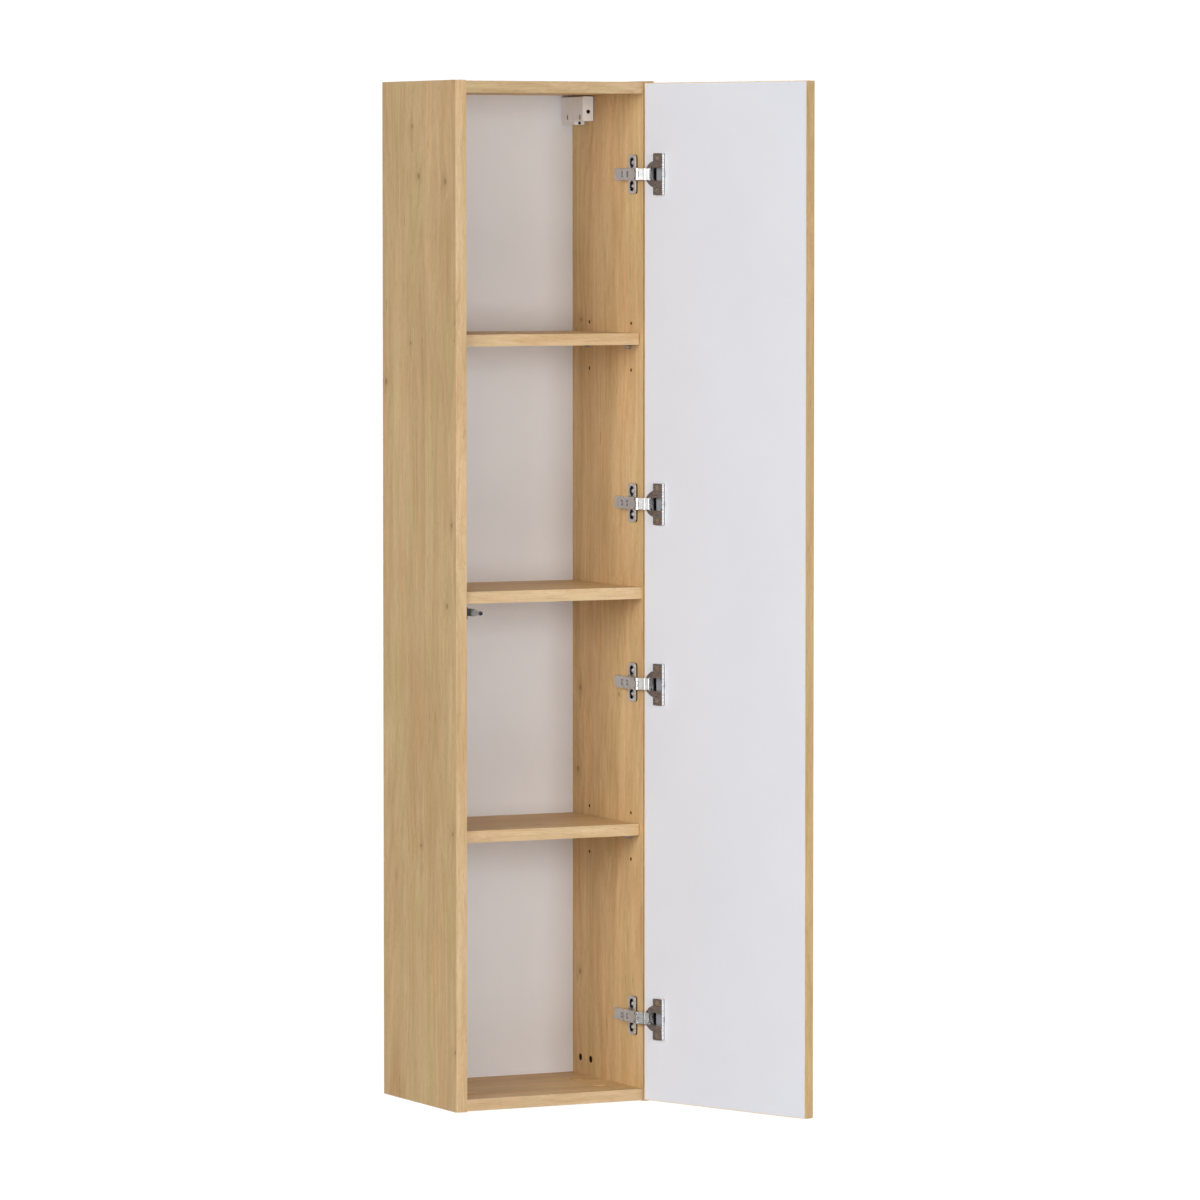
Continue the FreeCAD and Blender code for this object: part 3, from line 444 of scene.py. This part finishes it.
def oak_tone(graph, place, streaks, fibres, figure):
    """From 0, dark, to 1, pale: clouds, bands, streaks and fibres, less the faint rings."""
    tone = graph.times(graph.noise(place, CLOUDS), CLOUD_WEIGHT)
    bands = graph.noise(place, BANDS)
    for layer, weight in ((bands, BAND_WEIGHT), (streaks, STREAK_WEIGHT), (fibres, FIBRE_WEIGHT)):
        tone = graph.math("ADD", tone, graph.times(layer, weight))
    turns = graph.times(graph.noise(place, CONTOURS), RINGS_PER_CONTOUR)
    rings = graph.span(graph.math("SINE", turns), *RING_RUN)
    tone = graph.math("SUBTRACT", tone, graph.times(rings, RING_WEIGHT * figure))
    return graph.span(tone, *TONE_RUN)


def oak_tint(graph, place, colour):
    """Slow drifts of the colour towards rose and towards moss."""
    hue = graph.noise(place, HUES)
    rosy = graph.blend(1.0, colour, ROSY, "MULTIPLY")
    mossy = graph.blend(1.0, colour, MOSSY, "MULTIPLY")
    colour = graph.blend(graph.span(hue, *ROSY_RUN), colour, rosy)
    return graph.blend(graph.span(hue, *MOSSY_RUN), colour, mossy)


def oak_marks(graph, place, colour, pores, knot, figure):
    """Dark pores, short flecks and pin knots."""
    deep = graph.blend(1.0, colour, DEEP, "MULTIPLY")
    flecks = graph.noise(place, FLECKS)
    pore_mask = graph.times(graph.span(pores, *PORE_RUN), PORE_DEPTH)
    fleck_mask = graph.times(graph.span(flecks, *FLECK_RUN), FLECK_DEPTH * figure)
    knot_mask = graph.times(knot, figure)
    for mask in (pore_mask, fleck_mask, knot_mask):
        colour = graph.blend(mask, colour, deep)
    return colour


def oak(name, grain="Z", turn=0.0, shift=(0.0, 0.0, 0.0), light=1.0, figure=1.0, trim=False,
        board=None, across="X"):
    """Satin oak-look foil. A board's drillings show chipboard darkened with painted shade, and trim is
    the paler edge band.
    """
    graph = Graph(name)
    place = grain_place(graph, grain, turn, shift)
    knot, halo = knots(graph, place, across)
    place = lean_grain(graph, place, halo)
    streaks = graph.noise(place, STREAKS)
    fibres = graph.noise(place, FIBRES)
    pores = graph.noise(place, PORES)
    dark, pale = (TRIM_DARK, TRIM_PALE) if trim else (OAK_DARK, OAK_PALE)
    tone = oak_tone(graph, place, streaks, fibres, figure)
    colour = graph.blend(tone, shade(dark, light), shade(pale, light))
    colour = oak_tint(graph, place, colour)
    colour = oak_marks(graph, place, colour, pores, knot, figure)
    # Painted shade: the walls of the drillings get a dark chipboard colour
    if board:
        colour = graph.blend(inside_board(graph, board), colour, CHIPBOARD_IN_SHADE)
    rough = graph.span(streaks, *OAK_ROUGH_RUN)
    graph.set(Base_Color=colour, Roughness=rough, Specular_IOR_Level=0.3)
    relief = graph.math("ADD", graph.times(fibres, FIBRE_RISE), graph.times(pores, PORE_RISE))
    graph.bump(relief, *OAK_RELIEF)
    return graph.material


# Other finishes

def foil(name, colour, rough):
    """Smooth melamine foil with a faint mottle and orange peel."""
    graph = Graph(name)
    place = graph.place()
    cloud = graph.noise(place, FOIL_CLOUDS)
    peel = graph.noise(place, FOIL_PEEL)
    scuff = graph.noise(place, FOIL_SCUFFS)
    tone = graph.times(graph.span(cloud, *NOISE_RUN), graph.span(scuff, *SCUFF_RUN))
    graph.set(Base_Color=graph.blend(tone, shade(colour, FOIL_MOTTLE), colour))
    graph.set(Roughness=graph.span(cloud, *NOISE_RUN, rough - 0.03, rough + 0.03))
    graph.set(Specular_IOR_Level=0.4)
    graph.bump(peel, *FOIL_RELIEF)
    return graph.material


def metal(name, colour, rough, dark=(), face=None, rim=None, smooth=None, relief=0.10):
    """Plated steel with a fine rolled texture.

    It has painted shade in its recesses, a painted dark reflection on its broad face, a painted
    highlight on its rim, and is polished on its smooth side.
    """
    graph = Graph(name)
    place = graph.place()
    lines = graph.noise(place, ROLLED_LINES)
    marks = graph.noise(place, METAL_MARKS)
    finish = graph.blend(graph.span(marks, *MARK_RUN), shade(colour, METAL_MOTTLE), colour)
    metallic = 1.0
    # Painted dark reflection on the broad face, painted highlight on the rim
    for direction, tone, metallic_there in ((face, PAINTED_DARK_REFLECTION, DARK_REFLECTION_METALLIC), (rim, PAINTED_HIGHLIGHT, HIGHLIGHT_METALLIC)):
        if direction:
            facing = graph.span(reach(graph, "Normal", direction), *FACING_RUN)
            finish = graph.blend(facing, finish, tone)
            loss = graph.times(facing, 1.0 - metallic_there)
            metallic = graph.math("SUBTRACT", metallic, loss)
    # Painted shade: each set of bands is painted black
    for bands in dark:
        finish = graph.blend(in_bands(graph, bands), finish, SHADE_BLACK)
    graph.set(Base_Color=finish, Metallic=metallic)
    roughness = graph.span(lines, *NOISE_RUN, rough - 0.05, rough + 0.08)
    if smooth:
        polish = graph.span(reach(graph, "Normal", smooth), *POLISH_RUN)
        roughness = graph.times(roughness, graph.math("SUBTRACT", 1.0, polish))
    graph.set(Roughness=roughness)
    graph.bump(lines, relief, METAL_RELIEF_DEPTH)
    return graph.material


def plastic(name, colour, rough, hanger=None):
    """Moulded plastic with a fine spark-eroded grain, with painted shade in a hanger's holes."""
    graph = Graph(name)
    place = graph.place()
    grain = graph.noise(place, SPARK_GRAIN)
    cloud = graph.noise(place, PLASTIC_CLOUDS)
    tone = graph.blend(graph.span(cloud, *NOISE_RUN), shade(colour, PLASTIC_MOTTLE), colour)
    if hanger:
        # Painted shade: the hanger's holes and its face at the wall gap are painted black
        tone = graph.blend(inside_hanger(graph, hanger), tone, SHADE_BLACK)
    graph.set(Base_Color=tone)
    graph.set(Roughness=graph.span(cloud, *NOISE_RUN, rough - 0.04, rough + 0.05))
    graph.bump(grain, *PLASTIC_RELIEF)
    return graph.material


# Painting

def paint(node, material, bevel=0.0):
    """Gives a CAD node its finish, and softens its sharp edges."""
    obj = frame["nodes"][node]
    obj.data.materials.clear()
    obj.data.materials.append(material)
    if bevel:
        soften(obj, bevel)


def soften(obj, width):
    made = obj.modifiers.new("bevel", "BEVEL")
    made.width = width
    made.segments = 2
    made.limit_method = "ANGLE"
    made.angle_limit = math.radians(35)
    made.harden_normals = False


def paint_panels():
    # Painted light and shade: the same oak is painted darker on the left side and lighter on the right
    sides = (("side_panel_left", (3.1, 0.4, 5.2), 0.92), ("side_panel_right", (7.7, 2.9, 1.3), 1.1))
    for node, shift, light in sides:
        wood = oak("oak_" + node, shift=shift, light=light, board=node, across="Y")
        paint(node, wood, BOARD_EDGE)
    level = ("bottom_panel", "top_panel", "middle_shelf", "upper_shelf", "lower_shelf")
    drilled = ("bottom_panel", "top_panel", "middle_shelf")
    for index, node in enumerate(level):
        shift = (index * 1.37, index * 0.83, index * 2.21)
        board = node if node in drilled else None
        wood = oak("oak_" + node, "X", shift=shift, figure=0.8, board=board)
        paint(node, wood, BOARD_EDGE)
    paint("back_panel", foil("back_white", BACK_WHITE, rough=0.5), FINE_EDGE)


def paint_edge_bands():
    side = oak("oak_side_bands", shift=(1.9, 6.3, 4.1), figure=0.7, trim=True)
    paint("side_edge_bands", side, THIN_EDGE)
    # Painted shade: the end bands are painted darker than the other bands
    ends = oak("oak_end_bands", "X", shift=(2.2, 1.1, 0.7), trim=True, light=0.9)
    paint("end_edge_bands", ends, THIN_EDGE)
    shelves = oak("oak_shelf_bands", "X", shift=(5.2, 3.1, 2.7), trim=True)
    paint("shelf_edge_bands", shelves, THIN_EDGE)
    caps = oak("oak_caps", "X", shift=(0.6, 0.2, 8.7), figure=0.3, light=1.06)
    paint("cam_caps", caps, THIN_EDGE)
    paint("dowels", oak("beech", "X", figure=0.3, light=1.1))


def paint_door():
    face = oak("oak_door", turn=DOOR_OPEN, shift=(4.4, 9.1, 2.2))
    paint("door_face", face, FINE_EDGE)
    # Painted light: the door's edge bands are painted lighter than the other bands
    bands = oak("oak_door_bands", turn=DOOR_OPEN, shift=(6.1, 0.3, 3.9), figure=0.4, light=1.2)
    paint("door_edge_bands", bands, THIN_EDGE)
    paint("door_panel", foil("door_white", DOOR_WHITE, rough=0.38), THIN_EDGE)


def link_face():
    """Which way the flat of a hinge link faces, square to the line between its two pivots."""
    in_door = Vector(JOINTS["door_swing"]["pos_m"])
    on_arm = Vector(JOINTS["link_swing"]["pos_m"])
    along = (in_door - on_arm).normalized()
    return (along.y, -along.x, 0.0)


def along_node(node, direction):
    """The least reach of a node along a direction."""
    return min(Vector(direction).dot(vertex.co) for vertex in frame["nodes"][node].data.vertices)


def plate_steel():
    """The mounting plates' steel, with painted shade in the pocket behind each slot and under the arm.
    """
    inner_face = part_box("side_panel_right")[0].x
    to_wall = (1.0, 0.0, 0.0)
    # Painted shade in each pocket and under the arm
    pocket = ((to_wall, inner_face - PLATE_POCKET, inner_face),)
    under_arm = ((to_wall, inner_face - UNDER_ARM_FAR, inner_face - UNDER_ARM_NEAR),)
    return metal("plate_steel", PLATE_STEEL, rough=0.24, dark=(pocket, under_arm))


def cup_steel():
    """The cups' steel, with a painted shadow line at the foot of the flange and painted shade down in
    the cup.
    """
    into_door = (math.sin(DOOR_OPEN), -math.cos(DOOR_OPEN), 0.0)
    out_of_door = tuple(-value for value in into_door)
    along_door = (into_door[1], -into_door[0], 0.0)
    face = along_node("door_panel", into_door)
    edge = along_node("door_panel", along_door)
    # Painted shadow line at the foot of the flange, painted shade on the floor of the cup
    foot = ((into_door, face - CUP_FOOT, face),)
    deep = (into_door, face + CUP_DEPTHS[0], face + CUP_DEPTHS[1])
    near = (along_door, edge + CUP_SHADE[0], edge + CUP_SHADE[1])
    dark = (foot, (deep, near))
    # The broad face gets a painted dark reflection, the rim a painted highlight
    return metal("cup_steel", CUP_STEEL, rough=0.26, dark=dark, face=out_of_door, rim=along_door)


def paint_hinges():
    paint("hinge_plates", plate_steel(), STEEL_EDGE)
    paint("hinge_cups", cup_steel(), CUP_EDGE)
    paint("hinge_arms", metal("arm_steel", ARM_STEEL, rough=0.2, relief=0.03), STEEL_EDGE)
    nickel = metal("nickel", NICKEL, rough=0.2, smooth=link_face(), relief=0.01)
    paint("hinge_links", nickel, STEEL_EDGE)
    zinc = metal("zinc", HINGE_ZINC, rough=0.3)
    for node in ("hinge_arm_screws", "hinge_arm_pins", "hinge_cup_pins", "hinge_cup_screws"):
        paint(node, zinc, FINE_EDGE)
    paint("hinge_plate_screws", metal("pale_zinc", PALE_ZINC, rough=0.42), FINE_EDGE)
    paint("hinge_cup_inserts", plastic("insert_grey", INSERT_GREY, rough=0.34), THIN_EDGE)


def make_spring(material):
    """The coil behind the latch's plunger."""
    node = "latch_spring"
    coil = bpy.data.objects.new("spring_coil", frame["nodes"][node].data.copy())
    bpy.context.scene.collection.objects.link(coil)
    coil.data.materials.clear()
    coil.data.materials.append(material)
    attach(coil, "carcass")
    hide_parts(node)
    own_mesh(coil)


def paint_fittings():
    zinc = metal("fitting_zinc", FITTING_ZINC, rough=0.36)
    for node in ("cam_locks", "cam_bolts", "upper_shelf_pins", "lower_shelf_pins", "latch_screws"):
        paint(node, zinc)
    make_spring(zinc)
    for side in ("left", "right"):
        paint("hanger_hook_" + side, zinc, HOOK_EDGE)
        body = "hanger_body_" + side
        white = plastic("white_" + side, HANGER_WHITE, rough=0.34, hanger=body)
        paint(body, white, BOARD_EDGE)
    # Painted shade: the adjusters are painted near black so that the holes they sit in look dark
    paint("hanger_adjusters", metal("adjuster_shade_steel", ADJUSTER_SHADE_STEEL, rough=0.4), FINE_EDGE)
    grey = plastic("grey_plastic", LATCH_GREY, rough=0.3)
    for node in ("latch_housing", "latch_plunger"):
        paint(node, grey, THIN_EDGE)
    paint("latch_adapter", plastic("black_plastic", ADAPTER_BLACK, rough=0.4), STEEL_EDGE)
    paint("latch_tip", plastic("black_rubber", RUBBER_BLACK, rough=0.6), FINE_EDGE)


# Stage, light and camera

def make_floor():
    """A pale floor well below the hanging cabinet, as bright to the camera as the backdrop."""
    low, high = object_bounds()
    bpy.ops.mesh.primitive_plane_add(size=FLOOR_SIDE, location=(0.0, 0.0, low.z - FLOOR_DROP))
    floor = bpy.context.object
    floor.name = "floor"
    graph = Graph("floor")
    cloud = graph.noise(graph.place(), FLOOR_CLOUDS)
    graph.set(Base_Color=graph.blend(cloud, FLOOR_DIM, FLOOR_PALE), Roughness=0.9)
    seen = graph.node("ShaderNodeLightPath").outputs["Is Camera Ray"]
    graph.set(Emission_Color=WHITE, Emission_Strength=graph.times(seen, FLOOR_GLOW))
    floor.data.materials.append(graph.material)
    floor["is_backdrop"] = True


def make_light(name, place, aim, power):
    light = bpy.data.lights.new(name, "AREA")
    light.shape = "RECTANGLE"
    light.size = LIGHT_SIDE
    light.size_y = LIGHT_SIDE
    light.energy = power
    obj = bpy.data.objects.new(name, light)
    bpy.context.scene.collection.objects.link(obj)
    obj.location = place
    obj.rotation_euler = (aim - place).to_track_quat("-Z", "Y").to_euler()
    obj.visible_glossy = name not in UNMIRRORED


def make_lights():
    low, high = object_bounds()
    middle = (Vector(low) + Vector(high)) / 2
    for name, azimuth, elevation, power in LIGHTS:
        turn = math.radians(azimuth)
        rise = math.radians(elevation)
        flat = LIGHT_AWAY * math.cos(rise)
        away = Vector((flat * math.sin(turn), -flat * math.cos(turn), LIGHT_AWAY * math.sin(rise)))
        make_light(name, middle + away, middle, power)


def make_backgrounds(tree):
    """The world's three backgrounds: for plain light, for reflections and for the camera."""
    place = tree.nodes.new("ShaderNodeTexCoord")
    split = tree.nodes.new("ShaderNodeSeparateXYZ")
    tree.links.new(place.outputs["Generated"], split.inputs["Vector"])
    rise = tree.nodes.new("ShaderNodeMapRange")
    tree.links.new(split.outputs["Z"], rise.inputs["Value"])
    rise.inputs["From Min"].default_value = SHINE_START
    rise.inputs["From Max"].default_value = SHINE_END
    rise.inputs["To Min"].default_value = SHINE_LOW
    rise.inputs["To Max"].default_value = SHINE_HIGH
    glow, shine, seen = [tree.nodes.new("ShaderNodeBackground") for _ in range(3)]
    for background in (glow, shine, seen):
        background.inputs["Color"].default_value = WHITE
    glow.inputs["Strength"].default_value = GLOW
    tree.links.new(rise.outputs["Result"], shine.inputs["Strength"])
    seen.inputs["Strength"].default_value = BACKDROP
    return glow, shine, seen


def make_world():
    """Plain white behind the object, a dim even glow on it, and a bright room in its shine."""
    world = bpy.data.worlds.new("studio")
    bpy.context.scene.world = world
    world.use_nodes = True
    tree = world.node_tree
    tree.nodes.clear()
    glow, shine, seen = make_backgrounds(tree)
    path = tree.nodes.new("ShaderNodeLightPath")
    surface = glow.outputs["Background"]
    for ray, background in (("Is Glossy Ray", shine), ("Is Camera Ray", seen)):
        mix = tree.nodes.new("ShaderNodeMixShader")
        tree.links.new(path.outputs[ray], mix.inputs["Fac"])
        tree.links.new(surface, mix.inputs[1])
        tree.links.new(background.outputs["Background"], mix.inputs[2])
        surface = mix.outputs["Shader"]
    output = tree.nodes.new("ShaderNodeOutputWorld")
    tree.links.new(surface, output.inputs["Surface"])


def make_camera():
    camera = bpy.data.cameras.new("camera")
    camera.sensor_width = SENSOR_MM
    camera.lens = LENS_MM
    camera.clip_end = 100.0
    obj = bpy.data.objects.new("camera", camera)
    bpy.context.scene.collection.objects.link(obj)
    obj.location = CAMERA_PLACE
    obj.rotation_euler = (math.radians(90.0 - CAMERA_DOWN), 0.0, math.radians(CAMERA_TURN))
    bpy.context.scene.camera = obj


def set_view():
    settings = bpy.context.scene.view_settings
    settings.view_transform = "Standard"
    settings.look = "None"


paint_panels()
paint_edge_bands()
paint_door()
paint_hinges()
paint_fittings()
make_floor()
make_world()
make_lights()
set_view()
make_camera()
